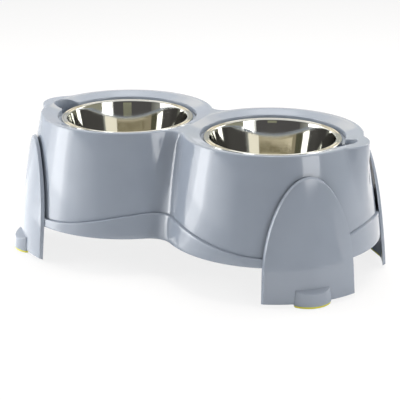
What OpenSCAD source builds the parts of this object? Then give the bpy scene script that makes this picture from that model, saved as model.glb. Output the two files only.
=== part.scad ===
/* [Stand body] */
// Distance between the axes of the two bowls
bowl_spacing = 259; // [250:1:290]
// Height of the deck's outer edge above the floor
stand_h = 218; // [200:1:250]
// Radius of each lobe at the edge of the deck
deck_r = 139; // [137:1:146]
// Radius that a lobe's wall would reach if it ran down to the floor
foot_r = 172.7; // [168:0.1:180]
// How far the wall bows out of a straight taper, at half height
wall_bulge = 4.4; // [3:0.2:6]
// Thickness of the moulded walls
wall_t = 3; // [2.4:0.2:3.6]
// Radius of the rounded edge round the deck
deck_edge_r = 5; // [4:0.5:6]
// Radius of the waist's fillet at the deck
waist_top_r = 20; // [16:1:30]
// Radius that the waist's fillet would reach at the floor
waist_foot_r = 45; // [35:1:55]

/* [Skirt] */
// Height of the skirt's lower edge above the floor
skirt_z = 58; // [50:1:62]
// How far the skirt stands out of the wall
skirt_proud = 4; // [3:0.5:5]
// Height of the skirt's upper edge at the two ends
skirt_end_z = 103; // [98:1:108]
// Height of the skirt's upper edge at the waist
skirt_waist_z = 97; // [92:1:102]
// Height of the skirt's upper edge at its lowest, beside the legs
skirt_low_z = 71; // [69:1:78]

/* [Deck and finger pockets] */
// How far the deck falls from its outer edge to its inner edge
deck_fall = 6; // [4:0.5:8]
// Depth of the step from the deck down to the bowl's ledge
step_h = 8; // [6:0.5:10]
// Height of the collar under the ledge
collar_h = 10; // [6:1:14]
// Radius of each finger pocket
pocket_r = 23; // [20:0.5:24]
// Distance from a bowl's axis to its finger pocket's axis
pocket_reach = 113.5; // [112:0.5:116]
// Depth of a finger pocket below the bowl's ledge
pocket_depth = 24; // [18:1:30]
// Width of the ridge round the outside of a finger pocket
ear_rim = 19; // [17:0.5:21]

/* [Bowls] */
// Outer radius of a bowl's rolled rim
bowl_rim_r = 107; // [104:0.5:108]
// Radius of the tube that the rim is rolled into
bead_r = 2.5; // [2:0.1:3]
// Width of a bowl's flange, from the rim's outside to the mouth
flange_w = 10; // [9:0.5:13]
// Depth of a bowl inside
bowl_depth = 68; // [55:1:75]
// Angle between a bowl's wall and the vertical
bowl_draft = 12; // [10:1:18]
// Inside radius of the turn between wall and base
bowl_corner_r = 15; // [10:1:20]
// Radius of the turn from the flange into the wall
bowl_lip_r = 3; // [2.5:0.1:4]
// Thickness of the steel sheet
sheet_t = 0.8; // [0.6:0.1:1]

/* [Legs] */
// Height of a leg's pointed top above the floor
leg_top_z = 189; // [175:1:195]
// Height at which a leg's straight sides turn into the arch
leg_shoulder_z = 48; // [40:1:60]
// Angle that half of a leg's width spans about the bowl's axis
leg_half_angle = 24; // [18:0.5:25]
// Thickness of a leg's plate
leg_t = 4.7; // [4:0.1:6]
// Direction of the legs, measured from the long axis
leg_turn = 45; // [42:1:48]
// Length of a foot along the leg
foot_w = 58; // [40:1:60]
// How far a foot reaches out of the leg's outer face
foot_out = 12; // [9:1:18]
// Radius of a foot's bowed front
foot_bow_r = 38; // [35:1:60]
// Height of a foot's outer edge above the floor
foot_edge_z = 21; // [18:1:26]
// Height at which the foot's slope meets the leg
foot_slope_z = 27; // [26:1:34]

/* [Leg rails] */
// Height of the rail's upper end, which carries the stand
rail_top_z = 105; // [100:1:112]
// Length of the rail
rail_len = 44; // [38:1:44]
// Width of the rail's neck
neck_w = 12; // [10:1:16]
// Width of the rail's head
head_w = 24; // [20:1:30]
// Thickness of the rail's head
head_t = 4; // [3:0.5:5]
// Tilt of the rail from the vertical
rail_tilt = 10; // [9.5:0.25:11]

/* [Rubber pads] */
// Thickness of a pad
pad_t = 4; // [3:0.5:5]
// How far a pad's outline stays inside the foot's
pad_inset = 1; // [0.5:0.25:2]
// Radius of the stem that holds a pad in its foot
stem_r = 4; // [3:0.5:5]
// Length of the stem
stem_h = 9; // [6:1:12]

/* [Clearances] */
// Gap between a bowl's rim and its ledge
rim_gap = 0.3; // [0.2:0.05:0.5]
// Gap round the rim inside the step
rim_side_gap = 5; // [3:0.5:7]
// Gap between a bowl's wall and the hole in the ledge
hole_gap = 1.7; // [1.4:0.1:2.5]
// Gap between the legs' inner face and the skirt
seat_gap = 0.3; // [0.2:0.05:0.5]
// Gap round the rails in their sockets
rail_gap = 0.3; // [0.2:0.05:0.5]
// Gap round a pad's stem in its foot
stem_gap = 0.1; // [0.05:0.05:0.2]

/* [Hidden] */
$fn = 96;

plastic_grey = [0.58, 0.61, 0.65];
steel_grey = [0.78, 0.78, 0.76];
rubber_yellow = [0.78, 0.77, 0.27];

// One overrun for every cut
over = 2;
lobe_x = bowl_spacing / 2;
half_turn = 180;
quarter_turn = 90;

// Number of levels in the curved wall, steps in the rounded edge and steps in a fillet's arc
wall_levels = 5;
web_levels = 3;
edge_steps = 3;
fillet_steps = 4;
arc_steps = 6;
wave_steps = 18;

bowl_mouth_r = bowl_rim_r - flange_w;

// Heights of the deck, from its outer edge down to the ledge
deck_inner_z = stand_h - deck_fall;
ledge_z = deck_inner_z - step_h;
deck_inner_r = bowl_rim_r + rim_side_gap;
hole_r = bowl_mouth_r + sheet_t + hole_gap;
deck_flat_r = deck_r - deck_edge_r;
pocket_floor_z = ledge_z - pocket_depth;
ear_r = pocket_r + ear_rim;
// The wall starts inside the skirt, above its lower edge
wall_low_z = (skirt_z + skirt_low_z) / 2;
// Reach of cuts that pass all the way across one lobe
far = foot_r + foot_out + pocket_reach;

// The wall's radius at a height, bowed out between the deck and the floor
function wall_r(z) =
    let (u = (stand_h - z) / stand_h)
    deck_r + (foot_r - deck_r) * u + 4 * wall_bulge * u * (1 - u);
function waist_r(z) = waist_top_r + (waist_foot_r - waist_top_r) * (stand_h - z) / stand_h;
function waist_y(z) = sqrt(pow(wall_r(z) + waist_r(z), 2) - pow(lobe_x, 2));
// Levels of the wall as [height, how far it is drawn in]
function edge_levels(high, edge) = [for (i = [1 : edge_steps])
    let (a = quarter_turn * i / edge_steps)
    [high - edge + edge * sin(a), edge * (1 - cos(a))]];
function levels(low, high, edge) = concat(
    [for (i = [0 : wall_levels]) [low + (high - edge - low) * i / wall_levels, 0]],
    edge == 0 ? [] : edge_levels(high, edge));
function arc(centre, r, start, end, steps) =
    [for (i = [0 : steps])
        let (a = start + (end - start) * i / steps)
        [centre[0] + r * cos(a), centre[1] + r * sin(a)]];

// Height of the skirt's upper edge at an angle about a lobe's axis, from the end (0) to the waist
low_angle = 70;
waist_angle = 135;
function skirt_top(a) = a < low_angle
    ? (skirt_end_z + skirt_low_z) / 2
        + (skirt_end_z - skirt_low_z) / 2 * cos(a * half_turn / low_angle)
    : (skirt_waist_z + skirt_low_z) / 2
        - (skirt_waist_z - skirt_low_z) / 2
            * cos((a - low_angle) * half_turn / (waist_angle - low_angle));

// Both lobes as turned solids, grown outwards and with a rounded upper edge
module lobes(grow, low, high, edge) {
    wall = [for (s = levels(low, high, edge)) [wall_r(s[0]) + grow - s[1], s[0]]];
    for (side = [-1, 1])
        translate([side * lobe_x, 0, 0])
            rotate_extrude()
                polygon(concat([[0, low]], wall, [[0, high]]));
}

// The web that fills the waist between the lobes. Its faces are chords of a concave fillet, and the
// outer ones run on into the lobes.
module web(grow, low, high, edge) {
    heights = concat(
        [for (i = [0 : web_levels]) [low + (high - edge - low) * i / web_levels, 0]],
        edge == 0 ? [] : edge_levels(high, edge));
    sink = grow + wall_t + deck_edge_r;
    rings = [for (s = heights)
        let (
            r = waist_r(s[0]) - grow + s[1],
            y = waist_y(s[0]),
            a = atan2(y, lobe_x),
            bow = arc([0, y], r, half_turn + a, 2 * half_turn - a, fillet_steps),
            chord = bow[0] - bow[1],
            start = bow[0] + chord * sink / norm(chord),
            row = concat(
                [start],
                [for (i = [1 : fillet_steps - 1]) bow[i]],
                [[-start[0], start[1]]]),
            count = len(row)
        )
        concat(
            [for (q = row) [q[0], -q[1], s[0]]],
            [for (i = [count - 1 : -1 : 0]) [row[i][0], row[i][1], s[0]]])];
    n = len(rings[0]);
    last = len(rings) - 1;
    sides = [for (k = [0 : last - 1]) for (i = [0 : n - 1])
        let (j = (i + 1) % n)
        [k * n + i, (k + 1) * n + i, (k + 1) * n + j, k * n + j]];
    // Each end is a row of convex quads, from the front fillet's points to the rear one's
    ends = [for (i = [0 : n / 2 - 2]) [i, i + 1, n - 2 - i, n - 1 - i]];
    polyhedron([for (ring = rings) for (q = ring) q], concat(
        sides,
        ends,
        [for (quad = ends) [for (i = [3 : -1 : 0]) last * n + quad[i]]]));
}

module outer_form(grow, low, high, edge) {
    lobes(grow, low, high, edge);
    web(grow, low, high, edge);
}

module at_pocket(side) {
    translate([side * (lobe_x + pocket_reach), 0, 0]) children();
}

// The bump round a finger pocket, with the deck's rounded edge
module ear() {
    top = arc([ear_r - deck_edge_r, stand_h - deck_edge_r], deck_edge_r, 0, quarter_turn, edge_steps);
    rotate_extrude()
        polygon(concat([[0, wall_low_z], [ear_r, wall_low_z]], top, [[0, stand_h]]));
}

// Keeps what lies on one side of the waist
module half(side) {
    intersection() {
        children();
        translate([side > 0 ? 0 : -far - lobe_x, -far, 0])
            cube([far + lobe_x, 2 * far, stand_h + over]);
    }
}

// What is left standing when the hollow is cut: deck, step, ledge and collar
module deck_stock(side) {
    half(side) {
        translate([side * lobe_x, 0, 0])
            rotate_extrude()
                polygon([
                    [hole_r, ledge_z - wall_t - collar_h],
                    [hole_r + wall_t, ledge_z - wall_t - collar_h],
                    [hole_r + wall_t, ledge_z - wall_t],
                    [deck_inner_r + wall_t, ledge_z - wall_t],
                    [deck_inner_r + wall_t, deck_inner_z - wall_t],
                    [deck_flat_r, stand_h - wall_t],
                    [far, stand_h - wall_t],
                    [far, stand_h + over],
                    [hole_r, stand_h + over]]);
    }
    at_pocket(side)
        translate([0, 0, pocket_floor_z - wall_t])
            cylinder(r = pocket_r + wall_t, h = stand_h + over - pocket_floor_z + wall_t);
}

// The dished deck, the step and the hole for the bowl, as one cut
module deck_cut(side) {
    half(side)
        translate([side * lobe_x, 0, 0])
            rotate_extrude()
                polygon([
                    [0, pocket_floor_z - wall_t - over],
                    [hole_r, pocket_floor_z - wall_t - over],
                    [hole_r, ledge_z],
                    [deck_inner_r, ledge_z],
                    [deck_inner_r, deck_inner_z],
                    [deck_flat_r, stand_h],
                    [deck_flat_r, stand_h + over],
                    [0, stand_h + over]]);
    at_pocket(side)
        translate([0, 0, pocket_floor_z])
            cylinder(r = pocket_r, h = stand_h + over - pocket_floor_z);
}

// The band at the foot of the wall, under its wavy upper edge
module skirt() {
    crest = max(skirt_end_z, skirt_waist_z);
    skirt_r = wall_r(skirt_low_z) + skirt_proud;
    wave = [for (i = [0 : wave_steps])
        let (a = waist_angle * i / wave_steps)
        [max(0, lobe_x + skirt_r * cos(a)), skirt_top(a)]];
    right = concat([[lobe_x + skirt_r + far, skirt_end_z]], wave);
    top = concat(right, [for (i = [len(right) - 2 : -1 : 0]) [-right[i][0], right[i][1]]]);
    low_edge = [[top[len(top) - 1][0], skirt_z - over], [top[0][0], skirt_z - over]];
    intersection() {
        outer_form(skirt_proud, skirt_z, crest + over, 0);
        translate([0, far, 0])
            rotate([quarter_turn, 0, 0])
                linear_extrude(height = 2 * far)
                    polygon(concat(top, low_edge));
    }
}

// Places a leg's own frame: +X out from the bowl's axis, +Z up
module at_leg(side, depth) {
    translate([side * lobe_x, 0, 0])
        rotate([0, 0, side > 0 ? depth * leg_turn : half_turn - depth * leg_turn])
            children();
}

// Places the rail's frame in a leg's frame: Z along the rail, X out of the wall
module at_rail() {
    translate([wall_r(rail_top_z), 0, rail_top_z])
        rotate([0, -rail_tilt, 0])
            children();
}

// Distances into the wall, measured from its outer face at the rail's top
land_t = wall_t / 3;
cavity_out = wall_t + land_t;
cavity_in = cavity_out + head_t + 2 * rail_gap;
cavity_w = head_w + 2 * rail_gap;
slot_w = neck_w + 2 * rail_gap;
slot_reach = skirt_proud + wall_t + over;
socket_drop = rail_top_z - skirt_z + 2 * wall_t;

module socket_block() {
    at_rail()
        translate([-cavity_in - wall_t, -cavity_w / 2 - wall_t, -socket_drop])
            cube([cavity_in + wall_t - wall_t / 2, cavity_w + 2 * wall_t, socket_drop + wall_t]);
}

module socket_cut() {
    at_rail() {
        translate([-cavity_in, -cavity_w / 2, -socket_drop - over])
            cube([head_t + 2 * rail_gap, cavity_w, socket_drop + over]);
        translate([-cavity_out - over, -slot_w / 2, -socket_drop - over])
            cube([cavity_out + over + slot_reach, slot_w, socket_drop + over]);
    }
}

module stand_body() {
    color(plastic_grey)
        difference() {
            union() {
                difference() {
                    union() {
                        outer_form(0, wall_low_z, stand_h, deck_edge_r);
                        for (side = [-1, 1])
                            at_pocket(side) ear();
                        skirt();
                    }
                    difference() {
                        union() {
                            outer_form(-wall_t, skirt_z - over, stand_h, 0);
                            for (side = [-1, 1])
                                at_pocket(side)
                                    translate([0, 0, skirt_z - over])
                                        cylinder(r = ear_r - wall_t, h = stand_h - skirt_z);
                        }
                        for (side = [-1, 1])
                            deck_stock(side);
                    }
                }
                difference() {
                    for (side = [-1, 1])
                        for (depth = [-1, 1])
                            at_leg(side, depth) socket_block();
                    translate([-far - lobe_x, -far, skirt_z - socket_drop])
                        cube([2 * (far + lobe_x), 2 * far, socket_drop]);
                }
            }
            for (side = [-1, 1])
                deck_cut(side);
            for (side = [-1, 1])
                for (depth = [-1, 1])
                    at_leg(side, depth) socket_cut();
        }
}

// Heights and turns of a bowl's section
rim_low_z = ledge_z + rim_gap;
rim_top_z = rim_low_z + 2 * bead_r;
bowl_floor_z = rim_top_z - bowl_depth;
bead_axis_r = bowl_rim_r - bead_r;
lip_axis = [bowl_mouth_r + bowl_lip_r, rim_top_z - bowl_lip_r];
corner_axis_z = bowl_floor_z + bowl_corner_r;
corner_axis_r = lip_axis[0]
    - (lip_axis[1] - corner_axis_z) * tan(bowl_draft)
    - (bowl_lip_r + bowl_corner_r) / cos(bowl_draft);
corner_axis = [corner_axis_r, corner_axis_z];

module bowl(side) {
    inside = concat(
        arc(lip_axis, bowl_lip_r, quarter_turn, half_turn - bowl_draft, arc_steps),
        arc(corner_axis, bowl_corner_r, -bowl_draft, -quarter_turn, arc_steps),
        [[0, bowl_floor_z]]);
    outside = concat(
        [[0, bowl_floor_z - sheet_t]],
        arc(corner_axis, bowl_corner_r + sheet_t, -quarter_turn, -bowl_draft, arc_steps),
        arc(lip_axis, bowl_lip_r - sheet_t, half_turn - bowl_draft, quarter_turn, arc_steps));
    color(steel_grey)
        translate([side * lobe_x, 0, 0])
            rotate_extrude()
                union() {
                    polygon(concat(
                        [[bead_axis_r, rim_top_z]],
                        inside,
                        outside,
                        [[bead_axis_r, rim_top_z - sheet_t]]));
                    translate([bead_axis_r, rim_low_z + bead_r])
                        difference() {
                            circle(r = bead_r);
                            circle(r = bead_r - sheet_t);
                        }
                }
}

// Faces of a leg's plate and foot, as distances from the bowl's axis
leg_in = skirt_proud + seat_gap;
leg_out = leg_in + leg_t;
foot_back_r = wall_r(pad_t) + leg_in - wall_t / 2;
foot_front_r = wall_r(pad_t) + leg_out + foot_out;
plate_low_z = pad_t + seat_gap;

function leg_reach(z) = z < leg_shoulder_z
    ? 1
    : sqrt(max(0, 1 - pow((z - leg_shoulder_z) / (leg_top_z - leg_shoulder_z), 2)));
function leg_half_w(z) = (wall_r(z) + leg_out) * sin(leg_half_angle * leg_reach(z));

module leg_plate() {
    heights = concat(
        [plate_low_z],
        [for (i = [0 : wave_steps])
            leg_shoulder_z + (leg_top_z - leg_shoulder_z) * sin(quarter_turn * i / wave_steps)]);
    right = [for (z = heights) [leg_half_w(z), z]];
    outline = concat(right, [for (i = [len(right) - 2 : -1 : 0]) [-right[i][0], right[i][1]]]);
    face = levels(0, stand_h, 0);
    intersection() {
        rotate_extrude()
            polygon(concat(
                [for (s = face) [wall_r(s[0]) + leg_out, s[0]]],
                [for (i = [len(face) - 1 : -1 : 0]) [wall_r(face[i][0]) + leg_in, face[i][0]]]));
        rotate([quarter_turn, 0, quarter_turn])
            linear_extrude(height = far)
                polygon(outline);
    }
}

// A foot's plan: square behind, with a bowed front
module foot_plan(inset) {
    back = foot_back_r + inset;
    side_y = foot_w / 2 - inset;
    r = foot_bow_r - inset;
    sweep = asin(side_y / r);
    polygon(concat(
        [[back, side_y], [back, -side_y]],
        arc([foot_front_r - foot_bow_r, 0], r, -sweep, sweep, arc_steps)));
}

stem_x = (foot_back_r + foot_front_r) / 2;

module foot() {
    intersection() {
        translate([0, 0, pad_t])
            linear_extrude(height = foot_slope_z)
                foot_plan(0);
        translate([0, foot_w, 0])
            rotate([quarter_turn, 0, 0])
                linear_extrude(height = 2 * foot_w)
                    polygon([
                        [foot_back_r - over, 0],
                        [foot_front_r + over, 0],
                        [foot_front_r + over, foot_edge_z],
                        [foot_front_r, foot_edge_z],
                        [wall_r(foot_slope_z) + leg_out - wall_t / 2, foot_slope_z],
                        [foot_back_r - over, foot_slope_z]]);
    }
}

// The blind hole that a pad's stem is pressed into
module stem_hole() {
    translate([stem_x, 0, pad_t - over])
        cylinder(r = stem_r + stem_gap, h = stem_h + stem_gap + over);
}

module rail() {
    at_rail() {
        translate([-cavity_in + rail_gap, -head_w / 2, -rail_len])
            cube([head_t, head_w, rail_len]);
        translate([-cavity_out - rail_gap - head_t / 2, -neck_w / 2, -rail_len])
            cube([cavity_out + rail_gap + head_t / 2 + leg_in + leg_t / 3, neck_w, rail_len]);
    }
}

module leg(side, depth) {
    color(plastic_grey)
        at_leg(side, depth)
            difference() {
                union() {
                    leg_plate();
                    foot();
                    rail();
                }
                stem_hole();
            }
}

module pad(side, depth) {
    color(rubber_yellow)
        at_leg(side, depth) {
            linear_extrude(height = pad_t)
                foot_plan(pad_inset);
            translate([stem_x, 0, pad_t / 2])
                cylinder(r = stem_r, h = pad_t / 2 + stem_h);
        }
}

stand_body();
bowl(-1);  // left_bowl
bowl(1);  // right_bowl
leg(-1, -1);  // front_left_leg
leg(1, -1);  // front_right_leg
leg(-1, 1);  // rear_left_leg
leg(1, 1);  // rear_right_leg
pad(-1, -1);  // front_left_pad
pad(1, -1);  // front_right_pad
pad(-1, 1);  // rear_left_pad
pad(1, 1);  // rear_right_pad
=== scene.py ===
import bpy
import bmesh
import math
from itertools import product
from mathutils import Matrix, Vector


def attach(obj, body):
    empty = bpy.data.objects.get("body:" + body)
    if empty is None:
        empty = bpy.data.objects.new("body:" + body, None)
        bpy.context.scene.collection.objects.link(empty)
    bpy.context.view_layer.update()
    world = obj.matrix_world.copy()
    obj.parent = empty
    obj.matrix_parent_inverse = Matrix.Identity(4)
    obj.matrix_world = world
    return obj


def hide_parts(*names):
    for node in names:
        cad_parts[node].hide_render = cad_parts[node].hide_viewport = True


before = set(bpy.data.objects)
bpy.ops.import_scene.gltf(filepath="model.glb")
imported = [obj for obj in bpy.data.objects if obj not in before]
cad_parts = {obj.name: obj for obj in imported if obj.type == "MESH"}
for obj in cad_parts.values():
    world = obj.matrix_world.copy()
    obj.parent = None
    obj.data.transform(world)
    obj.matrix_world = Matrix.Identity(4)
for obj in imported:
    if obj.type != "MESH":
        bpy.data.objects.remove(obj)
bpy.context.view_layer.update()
print("frame loaded with", len(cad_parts), "CAD nodes")

mm = 0.001  # every size below is in millimetres
weld = 0.002  # points closer than this become one

# the camera, fitted to the rims, deck edges and skirt edges of the photographed stand
view = {
    "eye": (912.4, -1728.0, 752.4),
    "aim": (6.2, -4.9, 86.8),
    "lens": 115.4,
    "sensor": 36.0,
}

# the moulded stand: two flared lobes joined by a waist
stand = {
    "lobeX": 129.5,
    "height": 218.0,
    "deckR": 139.0,
    "footR": 172.7,
    "bulge": 4.4,
    "wall": 3.0,
    "edgeR": 2.2,
    "waistTopR": 20.0,
    "waistFootR": 45.0,
    "deckFall": 6.0,
    "deckFlatR": 134.0,
    "deckInnerR": 112.0,
    "stepH": 8.0,
    "collarH": 10.0,
    "holeR": 99.5,
    "rimRound": 1.8,
    "blend": 7.0,  # softness of the bump's merge into the wall
    "deckBlend": 1.0,  # softness of the bend where the deck turns level
}

lobeX = stand["lobeX"]
wallT = stand["wall"]

# the wavy band at the foot of the wall
skirt = {
    "z": 58.0,
    "proud": 4.0,
    "endZ": 103.0,
    "waistZ": 97.0,
    "lowZ": 71.0,
    "lowAngle": 70.0,
    "waistAngle": 135.0,
    "startZ": 85.0,  # where the search for the upper edge's height starts
    "edgeR": 1.0,
    "grooveW": 1.3,
    "groove": ((0.72, 0.75), (0.9, 0.3), (0.3, 0.0)),  # depth, and share of the width, from the top down
    "lowRound": (0.8, 0.25, 0.6),  # rounding of the lower edge: outside, at a point between, and inside
}

# the finger pockets at both ends, and the bumps of wall that hold them
pocket = {
    "r": 23.0,
    "reach": 113.5,
    "depth": 24.0,
    "earRim": 19.0,
    "cornerR": 5.0,
    "endAngle": 23.0,  # where the wall columns beside the pocket end, about the lobe's axis
}

# the sockets inside the wall that the leg rails slide into
socket = {
    "topZ": 105.0,
    "tilt": 10.0,
    "headW": 24.0,
    "headT": 4.0,
    "neckW": 12.0,
    "gap": 0.3,
    "railLen": 44.0,
    "bearing": 45.0,  # of each leg about its lobe's axis
    "lift": 0.5,  # how far above the skirt's lower edge a socket ends
    "spare": 2.0,  # how far a cut runs past what it cuts
    "headSoft": 0.5,
    "neckSoft": 0.4,
}

# how finely the stand is drawn
fine = {
    "pocketCols": 14,
    "cornerCols": 5,
    "sideCols": 40,
    "waistCols": 12,
    "filletCols": 14,
    "seamCols": 14,
    "wallRows": 30,
    "edgeRows": 7,
    "deckRows": 10,
    "skirtRows": 8,
    "innerRows": 20,
    "underRows": 5,
    "ledgeRows": 3,
    "floorRows": 4,
    "shelfRows": 2,
    "roundRows": 4,
    "holeCols": 8,  # along the pocket's wall under the bowl's ledge
    "collarCols": 2,  # through the thickness of the collar
}


def lerp(a, b, t):
    return a + (b - a) * t


def spaced(a, b, count):  # count + 1 values from a to b
    return [lerp(a, b, i / count) for i in range(count + 1)]


def onRing(r, degrees, cx=0.0, cy=0.0):
    return (cx + r * math.cos(math.radians(degrees)), cy + r * math.sin(math.radians(degrees)))


def quarterRound(r, steps):  # how far in and how far down each point of a rounded edge lies
    turns = [math.radians(t) for t in spaced(0, 90, steps)]
    return [(r * (1 - math.cos(t)), r * (1 - math.sin(t))) for t in turns]


def softMax(a, b, k):
    h = max(k - abs(a - b), 0.0)
    return max(a, b) + h * h / (4 * k)


def softMin(a, b, k):
    return -softMax(-a, -b, k)


def wallR(z):
    u = (stand["height"] - z) / stand["height"]
    return stand["deckR"] + (stand["footR"] - stand["deckR"]) * u + 4 * stand["bulge"] * u * (1 - u)


def waistR(z):
    return lerp(stand["waistTopR"], stand["waistFootR"], (stand["height"] - z) / stand["height"])


def waistY(z):  # the waist fillet's centre lies at (0, waistY)
    return math.sqrt((wallR(z) + waistR(z)) ** 2 - lobeX ** 2)


def earReach(degrees, r):  # how far a ray from the lobe's axis runs before it leaves the pocket's bump
    across = pocket["reach"] * math.sin(math.radians(degrees))
    if abs(across) >= r or degrees > 90:
        return 0.0
    return pocket["reach"] * math.cos(math.radians(degrees)) + math.sqrt(r * r - across * across)


# a wall column is an angle about the lobe's axis, or a share of the way to the waist or round its fillet
bendStart = 100.0
sideAngles = spaced(0.0, pocket["endAngle"], fine["pocketCols"] + fine["cornerCols"])
sideAngles += spaced(pocket["endAngle"], bendStart, fine["sideCols"])[1:]
wallColumns = [("side", a) for a in sideAngles]
wallColumns += [("bend", t) for t in spaced(0, 1, fine["waistCols"])[1:]]
wallColumns += [("fillet", t) for t in spaced(0, 1, fine["filletCols"])[1:]]


def wallPoint(column, z, grow):
    kind, value = column
    tangent = 180.0 - math.degrees(math.atan2(waistY(z), lobeX))
    if kind == "fillet":
        turn = lerp(tangent - 180.0, -90.0, value)
        return onRing(waistR(z) - grow, turn, 0.0, waistY(z)) + (z,)
    angle = value if kind == "side" else lerp(bendStart, tangent, value)
    ear = earReach(angle, pocket["r"] + pocket["earRim"] + grow)
    return onRing(softMax(wallR(z) + grow, ear, stand["blend"]), angle, lobeX) + (z,)


def skirtTop(x):  # height of the skirt's upper edge over a place along the stand
    r = wallR(skirt["lowZ"]) + skirt["proud"]
    angle = math.degrees(math.acos(max(-1.0, min(1.0, (x - lobeX) / r))))
    angle = min(angle, skirt["waistAngle"])
    if angle < skirt["lowAngle"]:
        high, share = skirt["endZ"], angle / skirt["lowAngle"]
    else:
        high = skirt["waistZ"]
        share = (skirt["waistAngle"] - angle) / (skirt["waistAngle"] - skirt["lowAngle"])
    return (high + skirt["lowZ"]) / 2 + (high - skirt["lowZ"]) / 2 * math.cos(math.pi * share)


def skirtLine(column):  # height of that edge on a column, whose place itself depends on the height
    z = skirt["startZ"]
    for _ in range(3):
        z = skirtTop(wallPoint(column, z, 0.0)[0])
    return z


deckInnerZ = stand["height"] - stand["deckFall"]
ledgeZ = deckInnerZ - stand["stepH"]
collarZ = ledgeZ - wallT - stand["collarH"]
pocketZ = ledgeZ - pocket["depth"]


def deckZ(x, y):  # the deck dishes towards each bowl, and never rises above its outer edge
    out = math.hypot(abs(x) - lobeX, y)
    slope = stand["deckFall"] / (stand["deckFlatR"] - stand["deckInnerR"])
    return softMin(deckInnerZ + (out - stand["deckInnerR"]) * slope, stand["height"], stand["deckBlend"])


def onDeck(points, sink=0.0):  # the same points, laid on the deck or this far under it
    return [(p[0], p[1], deckZ(p[0], p[1]) - sink) for p in points]


def pocketTurn(r, ringR):  # where a circle about the pocket's axis crosses a ring about the lobe's
    d = pocket["reach"]
    return math.degrees(math.acos((ringR * ringR - d * d - r * r) / (2 * d * r)))


def atPocket(r, degrees):
    return onRing(r, degrees, lobeX + pocket["reach"])


def atLobe(r, degrees):
    return onRing(r, degrees, lobeX)


def lobeAngle(p):
    return math.degrees(math.atan2(p[1], p[0] - lobeX))


def raised(points, z):
    return [(p[0], p[1], z) for p in points]


def upright(line, heights):  # rows of a strip that stands on a line
    return [raised(line, z) for z in heights]


def ruled(first, last, steps):  # rows from one line of points to another
    return [[tuple(lerp(p[i], q[i], t) for i in range(3)) for p, q in zip(first, last)]
            for t in spaced(0, 1, steps)]


def deckRows(first, last, steps, sink=0.0):  # the rows between two lines follow the deck
    return [first] + [onDeck(row, sink) for row in ruled(first, last, steps)[1:-1]] + [last]


def faceOut(mesh):  # joins points that coincide and turns every face outwards
    bm = bmesh.new()
    bm.from_mesh(mesh)
    bmesh.ops.remove_doubles(bm, verts=bm.verts, dist=weld * mm)
    bmesh.ops.recalc_face_normals(bm, faces=bm.faces)
    bm.to_mesh(mesh)
    bm.free()


def objectFrom(name, grids, copies=((1, 1),)):  # a grid is rows of points with quads between them
    mesh = bpy.data.meshes.new(name)
    points, faces = [], []
    for sx, sy in copies:
        for rows in grids:
            start, width = len(points), len(rows[0])
            points += [(p[0] * sx * mm, p[1] * sy * mm, p[2] * mm) for row in rows for p in row]
            for r in range(len(rows) - 1):
                for a in range(start + r * width, start + r * width + width - 1):
                    face = (a, a + 1, a + 1 + width, a + width)
                    faces.append(face if sx * sy > 0 else face[::-1])
    mesh.from_pydata(points, [], faces)
    faceOut(mesh)
    finishMesh(mesh)
    return addObject(name, mesh)


def finishMesh(mesh, sharp=32.0):
    mesh.polygons.foreach_set("use_smooth", [True] * len(mesh.polygons))
    mesh.set_sharp_from_angle(angle=math.radians(sharp))
    mesh.update()


def addObject(name, mesh):
    obj = bpy.data.objects.new(name, mesh)
    bpy.context.scene.collection.objects.link(obj)
    return obj


def clad(mesh, finish):
    mesh.materials.clear()
    mesh.materials.append(finish)


def bake(obj):  # the evaluated shape becomes the object's own mesh, and its modifiers go
    graph = bpy.context.evaluated_depsgraph_get()
    mesh = bpy.data.meshes.new_from_object(obj.evaluated_get(graph), depsgraph=graph)
    obj.modifiers.clear()
    obj.data = mesh
    mesh.name = obj.name
    return mesh


def combine(base, parts, operation):
    for part in parts:
        cut = base.modifiers.new(part.name, "BOOLEAN")
        cut.operation = operation
        cut.solver = "MANIFOLD"
        cut.object = part
    bake(base)
    for part in parts:
        bpy.data.objects.remove(part)


# materials


def linearColour(code):  # an sRGB hex value as the linear colour that a shader takes
    parts = [int(code[i:i + 2], 16) / 255 for i in (1, 3, 5)]
    return tuple(c / 12.92 if c <= 0.04045 else ((c + 0.055) / 1.055) ** 2.4 for c in parts) + (1.0,)


def addNode(tree, kind, inputs=None, **settings):
    # an input is a value to set, a socket to link, or a node whose first output is linked
    node = tree.nodes.new(kind)
    for name, value in settings.items():
        setattr(node, name, value)
    for name, value in (inputs or {}).items():
        if isinstance(value, bpy.types.Node):
            value = value.outputs[0]
        if isinstance(value, bpy.types.NodeSocket):
            tree.links.new(value, node.inputs[name])
        else:
            node.inputs[name].default_value = value
    return node


def maths(tree, operation, a, b):
    return addNode(tree, "ShaderNodeMath", {0: a, 1: b}, operation=operation)


def vector(tree, axes):  # from the sockets given for some of its axes
    return addNode(tree, "ShaderNodeCombineXYZ", axes)


def newMaterial(name):
    material = bpy.data.materials.new(name)
    material.use_nodes = True
    material.node_tree.nodes.clear()
    return material, material.node_tree


def shiftedPlace(tree, shift):  # a point's place in its object, moved by a shift in metres
    place = addNode(tree, "ShaderNodeTexCoord").outputs["Object"]
    return addNode(tree, "ShaderNodeMapping", {"Location": shift, "Vector": place})


def noise(tree, place, size, detail, roughness=0.5, dimensions="3D"):  # features of this many millimetres
    return addNode(tree, "ShaderNodeTexNoise", {
        "W" if dimensions == "1D" else "Vector": place, "Scale": 1.0 / (size * mm), "Detail": detail,
        "Roughness": roughness}, noise_dimensions=dimensions)


def roughFrom(tree, value, ends, span=(0.3, 0.7)):  # a noise as a roughness between two ends
    return addNode(tree, "ShaderNodeMapRange", {
        "Value": value, "From Min": span[0], "From Max": span[1],
        "To Min": ends[0], "To Max": ends[1]})


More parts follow.
